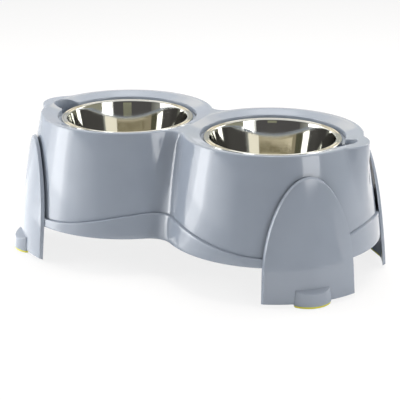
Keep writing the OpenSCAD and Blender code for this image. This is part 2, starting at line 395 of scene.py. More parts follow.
def bump(tree, height, depth, under=None):  # so many millimetres deep, over another bump if one is given
    inputs = {"Height": height, "Strength": 1.0, "Distance": depth * mm}
    return addNode(tree, "ShaderNodeBump", inputs if under is None else {**inputs, "Normal": under})


def blend(tree, factor, colours):  # the mix node's colours are its inputs 6 and 7 and its output 2
    inputs = {"Factor": factor, 6: linearColour(colours[0]), 7: linearColour(colours[1])}
    return addNode(tree, "ShaderNodeMix", inputs, data_type="RGBA").outputs[2]


def closeMaterial(tree, inputs):
    addNode(tree, "ShaderNodeOutputMaterial", {"Surface": addNode(tree, "ShaderNodeBsdfPrincipled", inputs)})


# a noise is given by the size of its features, its detail and, where it isn't 0.5, its roughness
plastic = {
    "colours": ("#8F98A5", "#9AA3B0"),
    "cloud": (70.0, 2.0),
    "ior": 1.49,
    "roughness": (0.07, 0.12),
    "smear": (24.0, 5.0, 0.6),
    "peel": (3.0, 2.0),
    "peelDepth": 0.006,
    "swell": (38.0, 1.0),
    "swellDepth": 0.05,
}

steel = {
    "colour": "#CACAC4",
    "roughness": (0.035, 0.07),
    "smear": (18.0, 4.0),
    "rings": (2.2, 3.0, 0.7),
    "ringDepth": 0.0012,
    "wobble": (22.0, 1.0),
    "wobbleDepth": 0.03,
}

rubber = {
    "colours": ("#E2DE35", "#D2CE45"),
    "cloud": (9.0, 4.0),
    "ior": 1.52,
    "roughness": (0.5, 0.65),
    "grain": (0.9, 3.0),
    "grainDepth": 0.03,
}


def polypropylene(name, seed):
    # gloss injection-moulded polypropylene: an even pigment, a hard clear reflection and a faint ripple
    material, tree = newMaterial(name)
    place = shiftedPlace(tree, (seed, seed * 0.7, 0.0))
    cloud = noise(tree, place, *plastic["cloud"])
    smear = noise(tree, place, *plastic["smear"])
    swell = bump(tree, noise(tree, place, *plastic["swell"]), plastic["swellDepth"])
    peel = bump(tree, noise(tree, place, *plastic["peel"]), plastic["peelDepth"], swell)
    closeMaterial(tree, {
        "IOR": plastic["ior"], "Metallic": 0.0, "Base Color": blend(tree, cloud, plastic["colours"]),
        "Roughness": roughFrom(tree, smear, plastic["roughness"]), "Normal": peel})
    return material


def stainlessSteel(name, axisX):
    # deep-drawn stainless steel, buffed on a lathe: a near mirror with faint rings and a slight wobble
    material, tree = newMaterial(name)
    place = shiftedPlace(tree, (-axisX * mm, 0.0, 0.0))
    split = addNode(tree, "ShaderNodeSeparateXYZ", {"Vector": place}).outputs
    flat = vector(tree, {"X": split["X"], "Y": split["Y"]})
    out = addNode(tree, "ShaderNodeVectorMath", {0: flat}, operation="LENGTH").outputs["Value"]
    rings = noise(tree, maths(tree, "SUBTRACT", out, split["Z"]), *steel["rings"], dimensions="1D")
    smear = noise(tree, place, *steel["smear"])
    wobble = bump(tree, noise(tree, place, *steel["wobble"]), steel["wobbleDepth"])
    closeMaterial(tree, {
        "Metallic": 1.0, "Base Color": linearColour(steel["colour"]),
        "Roughness": roughFrom(tree, smear, steel["roughness"]),
        "Normal": bump(tree, rings, steel["ringDepth"], wobble)})
    return material


def mouldedRubber(name):
    # compression-moulded rubber: a matt, slightly cloudy lime yellow with a fine spark-eroded grain
    material, tree = newMaterial(name)
    place = shiftedPlace(tree, (0.0, 0.0, 0.0))
    cloud = noise(tree, place, *rubber["cloud"])
    grain = noise(tree, place, *rubber["grain"])
    closeMaterial(tree, {
        "IOR": rubber["ior"], "Base Color": blend(tree, cloud, rubber["colours"]),
        "Roughness": roughFrom(tree, cloud, rubber["roughness"], (0.0, 1.0)),
        "Normal": bump(tree, grain, rubber["grainDepth"])})
    return material


bodyPlastic = polypropylene("glossMouldedPolypropylene", 0.0)
legPlastic = polypropylene("glossMouldedPolypropyleneLegs", 0.31)
padRubber = mouldedRubber("compressionMouldedRubber")
print("plastic and rubber mixed")


# the stand


def evenAngles(outer, start, outerStart):  # angles that keep pace with another line's
    return [start + (a - outerStart) * (180.0 - start) / (180.0 - outerStart) for a in outer]


def seamFrom(notch):  # the line between the lobes' decks, from the notch to the middle
    turns = spaced(180.0 - lobeAngle(notch), 0.0, fine["seamCols"])[1:]
    return [(0.0, lobeX * math.tan(math.radians(t))) for t in turns]


def standGrids():  # a quarter of the stand
    grids = []
    top = stand["height"]
    edge = stand["edgeR"]
    inner = stand["deckInnerR"]
    hole = stand["holeR"]
    r = pocket["r"]
    nP = fine["pocketCols"]
    nF = fine["cornerCols"]
    nQ = fine["holeCols"]
    nV = fine["collarCols"]
    nW = nQ - nV - nF + 2

    # the rounded corner where the pocket opens into the step
    k = pocket["cornerR"]
    d = pocket["reach"]
    cornerAngle = math.degrees(math.acos(((inner + k) ** 2 + d * d - (r + k) ** 2) / (2 * (inner + k) * d)))
    corner = onRing(inner + k, cornerAngle)
    pocketEnd = math.degrees(math.atan2(corner[1], corner[0] - d))
    turnA = math.degrees(math.atan2(-corner[1], d - corner[0]))
    turnB = math.degrees(math.atan2(-corner[1], -corner[0]))

    # the deck's outer line, down to the waist's notch and on along the seam between the lobes
    outerDeck = [wallPoint(c, top, -edge) for c in wallColumns]
    outerTop = outerDeck + onDeck(seamFrom(outerDeck[-1]))
    stepCols = outerTop[nP + nF + 1:]
    stepAngles = evenAngles([lobeAngle(p) for p in stepCols], cornerAngle, pocket["endAngle"])
    cornerX = corner[0] + lobeX

    def topOutline(e):
        line = [atPocket(r + e, t) for t in spaced(0, pocketEnd, nP)]
        line += [onRing(k - e, t, cornerX, corner[1]) for t in spaced(turnA, turnB, nF)[1:]]
        return line + [atLobe(inner + e, a) for a in stepAngles]

    rim = stand["rimRound"]
    crest = [deckZ(*p) for p in topOutline(rim)]
    rimRows = []
    for e, sink in quarterRound(rim, fine["roundRows"]):
        rimRows.append([(p[0], p[1], z - sink) for p, z in zip(topOutline(e), crest)])
    grids.append(rimRows)
    grids.append(deckRows(rimRows[-1], outerTop, fine["deckRows"]))

    # the step, and the pocket's wall down to its floor
    line = topOutline(0)
    lip = rimRows[0]
    low = raised(line, ledgeZ)
    grids.append([lip, low])
    levels = [ledgeZ, collarZ, pocketZ, pocketZ - wallT]
    grids.append(upright(line[:nP + 1], levels[:3]))
    innerTurn = pocketTurn(r, hole)
    under = [atPocket(r, t) for t in spaced(pocketEnd, innerTurn, nQ)]
    grids.append(upright(under, levels[:3]))

    # the ledge that the bowl's rim rests on
    holeA = lobeAngle(atPocket(r, innerTurn))
    outTurn = pocketTurn(r + wallT, hole)
    holeB = lobeAngle(atPocket(r + wallT, outTurn))
    ledgeOuter = low[nP:]
    ringCount = len(ledgeOuter) - nQ - 1
    farAngles = [lobeAngle(p) for p in ledgeOuter[-(ringCount - 2):]]
    holeAngles = [holeA, (holeA + holeB) / 2, holeB]
    holeAngles += evenAngles(farAngles, holeB, lobeAngle(ledgeOuter[-(ringCount - 1)]))
    holeLine = [atLobe(hole, a) for a in holeAngles]
    grids.append(ruled(ledgeOuter, raised(under + holeLine[1:], ledgeZ), fine["ledgeRows"]))

    # the hole's wall: whole above the collar, and cut open where it meets the pocket
    grids += [upright(holeLine[2:], levels[:2]), upright(holeLine[:3], levels)]
    shortArc = [atLobe(hole, a) for a in spaced(0, holeA, nQ)]
    grids.append(upright(shortArc, levels[2:]))

    # the pocket's floor
    rimLine = line[:nP + 1] + under[1:]
    axisLine = [(lobeX + x, 0.0) for x in spaced(d + r, hole, nP)]
    grids.append(ruled(raised(rimLine, pocketZ), raised(axisLine + shortArc[1:], pocketZ),
                       fine["floorRows"]))

    # the edge round the deck, the wall, the groove over the skirt, the skirt and the inner wall
    rows = []
    for fall, inset in quarterRound(edge, fine["edgeRows"]):
        rows.append([wallPoint(c, top - fall, -inset) for c in wallColumns])
    rows[0] = outerDeck
    lineZ = [skirtLine(c) for c in wallColumns]
    for t in spaced(0, 1, fine["wallRows"])[1:]:
        rows.append([wallPoint(c, lerp(top - edge, z + skirt["grooveW"], t), 0.0)
                     for c, z in zip(wallColumns, lineZ)])
    proud = skirt["proud"]
    for sink, share in skirt["groove"]:
        rows.append([wallPoint(c, z + share * skirt["grooveW"], -sink) for c, z in zip(wallColumns, lineZ)])
    for fall, inset in quarterRound(skirt["edgeR"], fine["roundRows"]):
        rows.append([wallPoint(c, z - fall, proud - inset) for c, z in zip(wallColumns, lineZ)])
    out, mid, inside = skirt["lowRound"]
    for t in spaced(0, 1, fine["skirtRows"])[1:]:
        rows.append([wallPoint(c, lerp(z - skirt["edgeR"], skirt["z"] + out, t), proud)
                     for c, z in zip(wallColumns, lineZ)])
    for grow, rise in ((proud - mid, mid), (proud - out, 0.0), (-wallT + inside, 0.0), (-wallT, inside)):
        rows.append([wallPoint(c, skirt["z"] + rise, grow) for c in wallColumns])
    for t in spaced(0, 1, fine["innerRows"])[1:]:
        rows.append([wallPoint(c, lerp(skirt["z"] + inside, top - wallT, t), -wallT) for c in wallColumns])
    grids.append(rows)

    # the deck seen from below, with the outside of the pocket's cup
    outerUnder = rows[-1] + onDeck(seamFrom(rows[-1][-1]), wallT)
    cup = r + wallT
    cupA = pocketTurn(cup, inner + wallT)
    cupB = pocketTurn(cup, hole + wallT)
    nU = nP + nF
    cupStart = [atPocket(cup, t) for t in spaced(0, cupA, nU)]
    startAngle = lobeAngle(cupStart[-1])
    underAngles = evenAngles([lobeAngle(p) for p in outerUnder[nU + 1:]], startAngle, pocket["endAngle"])
    underStep = [cupStart[-1]] + [atLobe(inner + wallT, a) for a in underAngles]
    underLine = cupStart + underStep[1:]
    underTop = onDeck(underLine, wallT)
    grids.append(deckRows(underTop, outerUnder, fine["underRows"], wallT))
    shelfZ = ledgeZ - wallT
    grids.append([underTop, raised(underLine, shelfZ)])
    deep = [shelfZ, collarZ, pocketZ, pocketZ - wallT]
    cupMid = [atPocket(cup, t) for t in spaced(cupA, cupB, nW)]
    cupLast = [atPocket(cup, t) for t in spaced(cupB, outTurn, nV)]
    grids += [upright(cupStart, deep), upright(cupMid, deep), upright(cupLast, deep[1:])]
    pace = [0.5 * i for i in range(nV + 1)]
    pace += [pace[-1] + a - holeB for a in holeAngles[3:]]
    collarStart = lobeAngle(cupLast[0])
    collarAngles = [lerp(collarStart, 180.0, p / pace[-1]) for p in pace]
    collarLine = [atLobe(hole + wallT, a) for a in collarAngles]
    collarLine[0] = cupLast[0]
    grids.append(ruled(raised(underStep, shelfZ), raised(cupMid + collarLine[1:], shelfZ),
                       fine["shelfRows"]))
    grids.append(upright(collarLine, deep[:2]))
    grids.append([raised(collarLine, collarZ), raised(cupLast + holeLine[3:], collarZ)])
    cupLine = cupStart + cupMid[1:] + cupLast[1:]
    arc = shortArc + holeLine[1:3]
    straight = len(cupLine) - len(arc) + 1
    axisLine = [(lobeX + x, 0.0) for x in spaced(d + cup, hole, straight - 1)]
    grids.append(ruled(raised(cupLine, pocketZ - wallT), raised(axisLine + arc[1:], pocketZ - wallT),
                       fine["floorRows"]))
    return grids


def legTurn(side, depth):
    return depth * socket["bearing"] if side > 0 else 180.0 - depth * socket["bearing"]


def legFrame(side, depth, unit=1.0):  # a leg's own frame has its origin on its lobe's axis, and X runs out
    return (Matrix.Translation((side * lobeX * unit, 0, 0))
            @ Matrix.Rotation(math.radians(legTurn(side, depth)), 4, "Z"))


def railFrame(base):  # in a leg's frame, Z runs up along the rail and X points out of the wall
    return (base @ Matrix.Translation((wallR(socket["topZ"]), 0, socket["topZ"]))
            @ Matrix.Rotation(math.radians(-socket["tilt"]), 4, "Y"))


def block(name, place, spanX, half, spanZ, floorZ=None, soften=0.0):
    # a box in a rail's frame, half as wide to each side, whose lower end can be cut level at floorZ
    bm = bmesh.new()
    points = []
    for x, y, z in product(spanX, (-half, half), spanZ):
        p = place @ Vector((x, y, z))
        if floorZ is not None and z == spanZ[0]:
            up = place @ Vector((x, y, spanZ[1]))
            p = p.lerp(up, (floorZ - p.z) / (up.z - p.z))
        points.append(bm.verts.new(p * mm))
    for face in ((0, 1, 3, 2), (4, 6, 7, 5), (0, 4, 5, 1), (2, 3, 7, 6), (0, 2, 6, 4), (1, 5, 7, 3)):
        bm.faces.new([points[i] for i in face])
    bmesh.ops.recalc_face_normals(bm, faces=bm.faces)
    if soften:
        bmesh.ops.bevel(bm, geom=bm.edges[:], offset=soften * mm, segments=2, profile=0.5, affect="EDGES")
    mesh = bpy.data.meshes.new(name)
    bm.to_mesh(mesh)
    bm.free()
    return addObject(name, mesh)


corners = (
    ("frontLeft", "front_left", -1, -1),
    ("frontRight", "front_right", 1, -1),
    ("rearLeft", "rear_left", -1, 1),
    ("rearRight", "rear_right", 1, 1),
)
gap = socket["gap"]
cavityOut = wallT + wallT / 3
cavityIn = cavityOut + socket["headT"] + 2 * gap
cavityHalf = (socket["headW"] + 2 * gap) / 2
neckHalf = socket["neckW"] / 2
drop = socket["topZ"] - skirt["z"] + 2 * wallT
spare = socket["spare"]

standBody = objectFrom("standBody", standGrids(), ((1, 1), (-1, 1), (1, -1), (-1, -1)))
blocks, cuts = [], []
for name, node, side, depth in corners:
    place = railFrame(legFrame(side, depth))
    blocks.append(block(name + "Socket", place, (-cavityIn - wallT, -wallT / 2), cavityHalf + wallT,
                        (-drop, wallT), floorZ=skirt["z"] + socket["lift"]))
    cuts.append(block(name + "Cavity", place, (-cavityIn, -cavityOut), cavityHalf, (-drop - spare, 0)))
    cuts.append(block(name + "Slot", place, (-cavityOut - spare, skirt["proud"] + wallT + spare),
                      neckHalf + gap, (-drop - spare, 0)))
combine(standBody, blocks, "UNION")
combine(standBody, cuts, "DIFFERENCE")
finishMesh(standBody.data)
clad(standBody.data, bodyPlastic)
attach(standBody, "stand_body")
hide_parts("stand_body")
print("stand moulded:", len(standBody.data.polygons), "faces")


# the legs

leg = {
    "topZ": 189.0,
    "shoulderZ": 48.0,
    "lowZ": 4.3,
    "halfAngle": 24.0,
    "inner": 4.3,
    "outer": 9.0,
    "outRound": (0.9, 4),  # radius and steps
    "inRound": (0.4, 3),
    "draft": 20.0,  # lean of the plate's edge, which catches the light from the side
    "rows": 30,
    "lowRows": 8,
    "columns": 20,
}
foot = {
    "width": 58.0,
    "out": 12.0,
    "bowR": 38.0,
    "edgeZ": 21.0,
    "slopeZ": 27.0,
    "topRound": 1.2,
    "roundSteps": 5,
    "draft": 2.2,  # how far the foot narrows on each side up to its top
    "lowZ": 4.0,
    "lowRound": 0.4,
    "stemHole": (4.1, 2.0, 13.1),  # radius, lower end and upper end
    "bowSteps": 28,
    "sideSteps": 4,
    "backSteps": 8,
}
foot["back"] = wallR(foot["lowZ"]) + leg["inner"] - wallT / 2
foot["front"] = wallR(foot["lowZ"]) + leg["outer"] + foot["out"]
stemX = (foot["back"] + foot["front"]) / 2


def legSection(inset, depthOut):  # one loop round the leg's outline, drawn in from its edge
    shoulder = leg["shoulderZ"]
    tall = leg["topZ"] - shoulder - inset
    base = (wallR(shoulder) + leg["outer"]) * math.sin(math.radians(leg["halfAngle"]))
    heights = spaced(leg["lowZ"] + inset, shoulder, leg["lowRows"])[:-1]
    heights += [shoulder + tall * math.sin(math.radians(t)) for t in spaced(0, 90, leg["rows"])]
    sides = []
    for z in heights:
        up = max(0.0, z - shoulder) / tall
        reach = math.sqrt(max(0.0, 1 - up * up))
        half = (wallR(z) + leg["outer"]) * math.sin(math.radians(leg["halfAngle"] * reach))
        sides.append((half * (1 - inset / base), z))

    def place(y, z):
        return (math.sqrt((wallR(z) + depthOut) ** 2 - y * y), y, z)

    across = spaced(1, -1, leg["columns"])
    face = [[place(half * s, z) for s in across] for half, z in sides]
    loop = [row[0] for row in face] + [row[-1] for row in face[-2::-1]] + face[0][-2:0:-1]
    return face, loop + [loop[0]]


def legPlate():
    (r, outSteps), (back, inSteps) = leg["outRound"], leg["inRound"]
    lean = math.radians(leg["draft"])
    edge = leg["outer"] - r + r * math.sin(lean)
    centre = (edge - leg["inner"] - back) * math.tan(lean) + r * math.cos(lean)
    steps = []
    for turn in spaced(90, leg["draft"], outSteps):
        steps.append((centre - r * math.cos(math.radians(turn)),
                      leg["outer"] - r + r * math.sin(math.radians(turn))))
    steps += [(inset, leg["inner"] + rise) for inset, rise in quarterRound(back, inSteps)]
    sections = [legSection(inset, out) for inset, out in steps]
    return [[loop for face, loop in sections], sections[0][0], sections[-1][0]]


def footLoop(inset):  # a foot's plan: square behind, with a bowed front
    back, side = foot["back"] + inset, foot["width"] / 2 - inset
    r, middle = foot["bowR"] - inset, foot["front"] - foot["bowR"]
    sweep = math.degrees(math.asin(side / r))
    bow = [onRing(r, t, middle) for t in spaced(-sweep, sweep, foot["bowSteps"])]
    loop = [(x, -side) for x in spaced(back, bow[0][0], foot["sideSteps"])[:-1]] + bow
    loop += [(x, side) for x in spaced(bow[-1][0], back, foot["sideSteps"])[1:]]
    return loop + [(back, y) for y in spaced(side, -side, foot["backSteps"])[1:]]


def drawnIn(loop, share, z=0.0):  # a loop shrunk towards the middle of the foot
    return [(lerp(stemX, p[0], share), lerp(0.0, p[1], share), z) for p in loop]


def footBlock():
    meet = wallR(foot["slopeZ"]) + leg["outer"] - wallT / 2

    def roof(p):  # the foot's top slopes from the leg down to its outer edge
        return lerp(foot["slopeZ"], foot["edgeZ"], max(0.0, (p[0] - meet) / (foot["front"] - meet)))

    low, soft = foot["lowZ"], foot["lowRound"]
    rows = [drawnIn(footLoop(soft), share, low) for share in (0.0, 0.35, 0.7)]
    rows += [raised(footLoop(soft), low), raised(footLoop(0.0), low + soft)]
    for inset, sink in quarterRound(foot["topRound"], foot["roundSteps"]):
        rows.append([(p[0], p[1], roof(p) - sink) for p in footLoop(foot["draft"] + inset)])
    rim = footLoop(foot["draft"] + foot["topRound"])
    for share in (0.75, 0.5, 0.25, 0.0):
        rows.append([(p[0], p[1], roof(p)) for p in drawnIn(rim, share)])
    return [rows]


def stemRound(name, section, steps=48):  # turned about the upright axis through the middle of the foot
    turns = spaced(0, 360, steps)
    return objectFrom(name, [[[onRing(r, t, stemX) + (z,) for t in turns] for r, z in section]])


def cast(master, name, side, depth, finish):  # a copy of a leg or pad, in its place
    mesh = master.data.copy()
    mesh.transform(legFrame(side, depth, mm))
    clad(mesh, finish)
    return addObject(name, mesh)


legMaster = objectFrom("legMaster", legPlate())
ownRail = railFrame(Matrix.Identity(4))
headIn, neckIn = -cavityIn + gap, -cavityOut - gap - socket["headT"] / 2
neckOut = leg["inner"] + (leg["outer"] - leg["inner"]) / 3
railZ = (-socket["railLen"], 0)
parts = [
    objectFrom("legFoot", footBlock()),
    block("legHead", ownRail, (headIn, headIn + socket["headT"]), socket["headW"] / 2, railZ,
          soften=socket["headSoft"]),
    block("legNeck", ownRail, (neckIn, neckOut), neckHalf, railZ, soften=socket["neckSoft"]),
]
combine(legMaster, parts, "UNION")
stemR, stemLow, stemTop = foot["stemHole"]
hole = [(0, stemLow), (stemR, stemLow), (stemR, stemTop), (0, stemTop)]
combine(legMaster, [stemRound("stemHole", hole)], "DIFFERENCE")
finishMesh(legMaster.data)
for name, node, side, depth in corners:
    piece = cast(legMaster, name + "Leg", side, depth, legPlastic)
    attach(piece, node + "_leg")
    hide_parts(node + "_leg")
bpy.data.objects.remove(legMaster)
print("four legs moulded")


# the pads

pad = {
    "thick": 4.0,
    "inset": 1.0,
    "lowZ": 0.8,
    "round": 0.7,
    "roundSteps": 3,
    "topRound": 0.3,
    "stem": (4.0, 13.0, 0.8),  # radius, upper end and the rounding there
    "ribs": 7,
    "ribPitch": 4.8,
    "ribWidth": 2.2,
    "ribLength": 8.0,
    "ribSink": 0.2,  # how far a rib runs into its pad
    "ribShift": 1.6,  # how far the row of ribs lies inside the pad's middle
    "ribRound": 0.499,  # radius of a rib's ends as a share of its width
    "ribEnds": 4,
    "ribWeld": 0.01,  # points of a rib closer than this become one
}


def padBlock():
    low, high, soft = pad["lowZ"], pad["thick"], pad["round"]
    rows = [drawnIn(footLoop(pad["inset"] + soft), share, low) for share in (0.0, 0.5)]
    for rise, shrink in quarterRound(soft, pad["roundSteps"]):
        rows.append(raised(footLoop(pad["inset"] + shrink), low + rise))
    rim = footLoop(pad["inset"] + pad["topRound"])
    rows += [raised(footLoop(pad["inset"]), high - pad["topRound"]), raised(rim, high)]
    return [rows + [drawnIn(rim, share, high) for share in (0.5, 0.0)]]


def newTree(name, inputs):
    tree = bpy.data.node_groups.new(name, "GeometryNodeTree")
    tree.interface.new_socket("Geometry", in_out="INPUT", socket_type="NodeSocketGeometry")
    for label, kind in inputs:
        tree.interface.new_socket(label, in_out="INPUT", socket_type="NodeSocket" + kind)
    tree.interface.new_socket("Geometry", in_out="OUTPUT", socket_type="NodeSocketGeometry")
    return tree, addNode(tree, "NodeGroupInput").outputs


def closeTree(tree, geometry, finish):
    real = addNode(tree, "GeometryNodeRealizeInstances", {"Geometry": geometry})
    done = addNode(tree, "GeometryNodeSetMaterial", {"Geometry": real, "Material": finish})
    addNode(tree, "NodeGroupOutput", {"Geometry": done})


def grow(obj, tree, values):  # gives an object the shape that a tree makes from these inputs
    modifier = obj.modifiers.new(tree.name, "NODES")
    modifier.node_group = tree
    for item in tree.interface.items_tree:
        if item.item_type == "SOCKET" and item.in_out == "INPUT" and item.name in values:
            modifier[item.identifier] = values[item.name]
    return bake(obj)


def gripTree():  # a row of round-ended ribs under a pad, in the pad's own frame
    sizes = [(label, "Float") for label in ("Pitch", "Width", "Length", "Height", "Out", "Axis X", "Turn")]
    tree, given = newTree("padGrip", [("Ribs", "Int")] + sizes + [("Finish", "Material")])
    plan = addNode(tree, "GeometryNodeCurvePrimitiveQuadrilateral",
                   {"Width": given["Length"], "Height": given["Width"]})
    rounded = addNode(tree, "GeometryNodeFilletCurve", {
        "Curve": plan, "Radius": maths(tree, "MULTIPLY", given["Width"], pad["ribRound"]),
        "Count": pad["ribEnds"]}, mode="POLY")
    filled = addNode(tree, "GeometryNodeFillCurve", {"Curve": rounded}, mode="NGONS")
    flipped = addNode(tree, "GeometryNodeFlipFaces", {"Mesh": filled})
    raisedRib = addNode(tree, "GeometryNodeExtrudeMesh",
                        {"Mesh": filled, "Offset Scale": given["Height"], "Individual": False})
    both = addNode(tree, "GeometryNodeJoinGeometry")
    for side in (raisedRib, flipped):
        tree.links.new(side.outputs[0], both.inputs[0])
    rib = addNode(tree, "GeometryNodeMergeByDistance", {"Geometry": both, "Distance": pad["ribWeld"] * mm})
    span = maths(tree, "MULTIPLY", maths(tree, "SUBTRACT", given["Ribs"], 1.0), given["Pitch"])
    first = vector(tree, {"X": given["Out"], "Y": maths(tree, "MULTIPLY", span, -0.5)})
    row = addNode(tree, "GeometryNodeMeshLine", {
        "Count": given["Ribs"], "Start Location": first, "Offset": vector(tree, {"Y": given["Pitch"]})})
    ribs = addNode(tree, "GeometryNodeInstanceOnPoints", {"Points": row, "Instance": rib})
    placed = addNode(tree, "GeometryNodeTransform", {
        "Geometry": ribs, "Translation": vector(tree, {"X": given["Axis X"]}),
        "Rotation": vector(tree, {"Z": given["Turn"]})})
    closeTree(tree, placed, given["Finish"])
    return tree


padMaster = objectFrom("padMaster", padBlock())
stemR, stemTop, soft = pad["stem"]
stem = [(0, stemLow), (stemR, stemLow), (stemR, stemTop - soft), (stemR - soft, stemTop), (0, stemTop)]
combine(padMaster, [stemRound("padStem", stem)], "UNION")
finishMesh(padMaster.data)
grip = gripTree()
for name, node, side, depth in corners:
    piece = cast(padMaster, name + "Pad", side, depth, padRubber)
    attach(piece, node + "_leg")
    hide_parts(node + "_pad")
    ribs = addObject(name + "PadRibs", bpy.data.meshes.new(name + "PadRibs"))
    grow(ribs, grip, {
        "Ribs": pad["ribs"], "Pitch": pad["ribPitch"] * mm, "Width": pad["ribWidth"] * mm,
        "Length": pad["ribLength"] * mm, "Height": (pad["lowZ"] + pad["ribSink"]) * mm,
        "Out": (stemX - pad["ribShift"]) * mm, "Axis X": side * lobeX * mm,
        "Turn": math.radians(legTurn(side, depth)), "Finish": padRubber})
    finishMesh(ribs.data)
    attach(ribs, node + "_leg")
bpy.data.objects.remove(padMaster)
print("pads and their ribs moulded")


# the bowls

bowl = {
    "rimR": 107.0,
    "beadR": 2.5,
    "mouthR": 97.0,
    "depth": 68.0,
    "draft": 12.0,
    "cornerR": 15.0,
    "lipR": 3.0,
    "sheet": 0.8,
    "dip": 0.7,  # depth of the flange beside its rolled bead
    "bow": 0.12,  # how far the drawn wall bows out between its two turns
    "dipLine": ((0.9, 0.15), (1.7, 0.8), (2.4, 1.0)),  # distance past the lip, and share of the dip
    "rimGap": 0.3,
    "turns": 192,
    "wallSteps": 12,
    "cornerSteps": (18, 16),  # on the inner and on the outer face
    "lipSteps": (10, 8),
    "rollSteps": (30, 26),
    "roll": (125, -190),  # where the rolled bead starts and ends
    "floorShares": ((0.0, 0.08, 0.2, 0.4, 0.6, 0.8, 0.95), (0.8, 0.5, 0.2, 0.0)),
    "flangeBack": (1.7, 2.0),
    "sharp": 40.0,
}


def arcPoints(centre, r, start, end, steps):
    return [onRing(r, t, *centre) for t in spaced(start, end, steps)]


def bowedWall(start, end, steps):  # the points between two ends of a wall that bows out
    out = (end[1] - start[1], start[0] - end[0])
    size = bowl["bow"] / math.hypot(*out) * (1 if out[0] > 0 else -1)
    return [tuple(lerp(start[i], end[i], t) + out[i] * size * 4 * t * (1 - t) for i in range(2))
            for t in spaced(0, 1, steps)[1:-1]]


def bowlSection():  # radius and height of each point, from the middle of the floor out and back under
    sheet, beadR, lipR, cornerR = bowl["sheet"], bowl["beadR"], bowl["lipR"], bowl["cornerR"]
    lowRim = ledgeZ + bowl["rimGap"]
    topZ = lowRim + 2 * beadR
    floorZ = topZ - bowl["depth"]
    lip = (bowl["mouthR"] + lipR, topZ - lipR)
    draft = bowl["draft"]
    lean = math.radians(draft)
    base = (lip[0] - (lip[1] - floorZ - cornerR) * math.tan(lean)
            - (lipR + cornerR) / math.cos(lean), floorZ + cornerR)
    bead = (bowl["rimR"] - beadR, lowRim + beadR)
    inside = [(base[0] * t, floorZ) for t in bowl["floorShares"][0]]
    inside += arcPoints(base, cornerR, -90, -draft, bowl["cornerSteps"][0])
    wallTop = arcPoints(lip, lipR, 180 - draft, 90, bowl["lipSteps"][0])
    inside += bowedWall(inside[-1], wallTop[0], bowl["wallSteps"])
    dip = bowl["dip"]
    inside += wallTop + [(lip[0] + along, topZ - share * dip) for along, share in bowl["dipLine"]]
    start, end = bowl["roll"]
    roll = arcPoints(bead, beadR, start, end, bowl["rollSteps"][0])
    back = arcPoints(bead, beadR - sheet, end, start, bowl["rollSteps"][1])
    low = topZ - sheet - dip
    outside = [(bead[0] - bowl["flangeBack"][0], low), (lip[0] + bowl["flangeBack"][1], low)]
    outside += arcPoints(lip, lipR - sheet, 90, 180 - draft, bowl["lipSteps"][1])
    turn = arcPoints(base, cornerR + sheet, -draft, -90, bowl["cornerSteps"][1])
    outside += bowedWall(outside[-1], turn[0], bowl["wallSteps"])
    outside += turn + [(base[0] * t, floorZ - sheet) for t in bowl["floorShares"][1]]
    return inside + roll + back + outside


def turningTree():  # sweeps a section, given as a line of points, about an upright axis
    tree, given = newTree("turnedBowl", [
        ("Section Points", "Int"), ("Turns", "Int"), ("Axis X", "Float"), ("Finish", "Material")])
    grid = addNode(tree, "GeometryNodeMeshGrid", {
        "Size X": 1.0, "Size Y": 1.0, "Vertices X": given["Section Points"],
        "Vertices Y": maths(tree, "ADD", given["Turns"], 1.0)})
    place = addNode(tree, "GeometryNodeInputPosition")
    split = addNode(tree, "ShaderNodeSeparateXYZ", {"Vector": place}).outputs
    last = maths(tree, "SUBTRACT", given["Section Points"], 1.0)
    number = maths(tree, "MULTIPLY", maths(tree, "ADD", split["X"], 0.5), last)
    index = addNode(tree, "FunctionNodeFloatToInt", {"Float": number}, rounding_mode="ROUND")
    section = addNode(tree, "GeometryNodeSampleIndex", {
        "Geometry": given["Geometry"], "Value": place, "Index": index}, data_type="FLOAT_VECTOR")
    angle = maths(tree, "MULTIPLY", maths(tree, "ADD", split["Y"], 0.5), 2 * math.pi)
    swung = addNode(tree, "ShaderNodeVectorRotate", {"Vector": section, "Angle": angle},
                    rotation_type="Z_AXIS")
    axis = vector(tree, {"X": given["Axis X"]})
    moved = addNode(tree, "ShaderNodeVectorMath", {0: swung, 1: axis}, operation="ADD")
    shaped = addNode(tree, "GeometryNodeSetPosition", {"Geometry": grid, "Position": moved})
    merged = addNode(tree, "GeometryNodeMergeByDistance", {"Geometry": shaped, "Distance": weld * mm})
    closeTree(tree, merged, given["Finish"])
    return tree


turning = turningTree()
section = bowlSection()
for name, node, side in (("leftBowl", "left_bowl", -1), ("rightBowl", "right_bowl", 1)):
    axisX = side * lobeX
    mesh = bpy.data.meshes.new(name)
    links = [(i, i + 1) for i in range(len(section) - 1)]
    mesh.from_pydata([(r * mm, 0.0, z * mm) for r, z in section], links, [])
    piece = addObject(name, mesh)
    mesh = grow(piece, turning, {
        "Section Points": len(section), "Turns": bowl["turns"], "Axis X": axisX * mm,
        "Finish": stainlessSteel(name + "DeepDrawnStainlessSteel", axisX)})
    faceOut(mesh)
    finishMesh(mesh, bowl["sharp"])
    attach(piece, node)
    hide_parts(node)
print("bowls drawn")


# floor, light and camera

studio = {
    "floor": "#FAFAFA",
    "floorSize": 9000.0,
    "floorLift": 0.82,  # share of the floor's own white that the camera sees, over its lit surface
    "fill": 0.24,  # how brightly the white surroundings light what isn't shiny
    "aimZ": 100.0,
    "cardSteps": 16,
    "cardLowest": 1.0,  # no card goes through the floor
    "floorCardZ": 2.0,
    "sagMiddle": 178.0,  # the bearing at which a sagging card stands highest
}


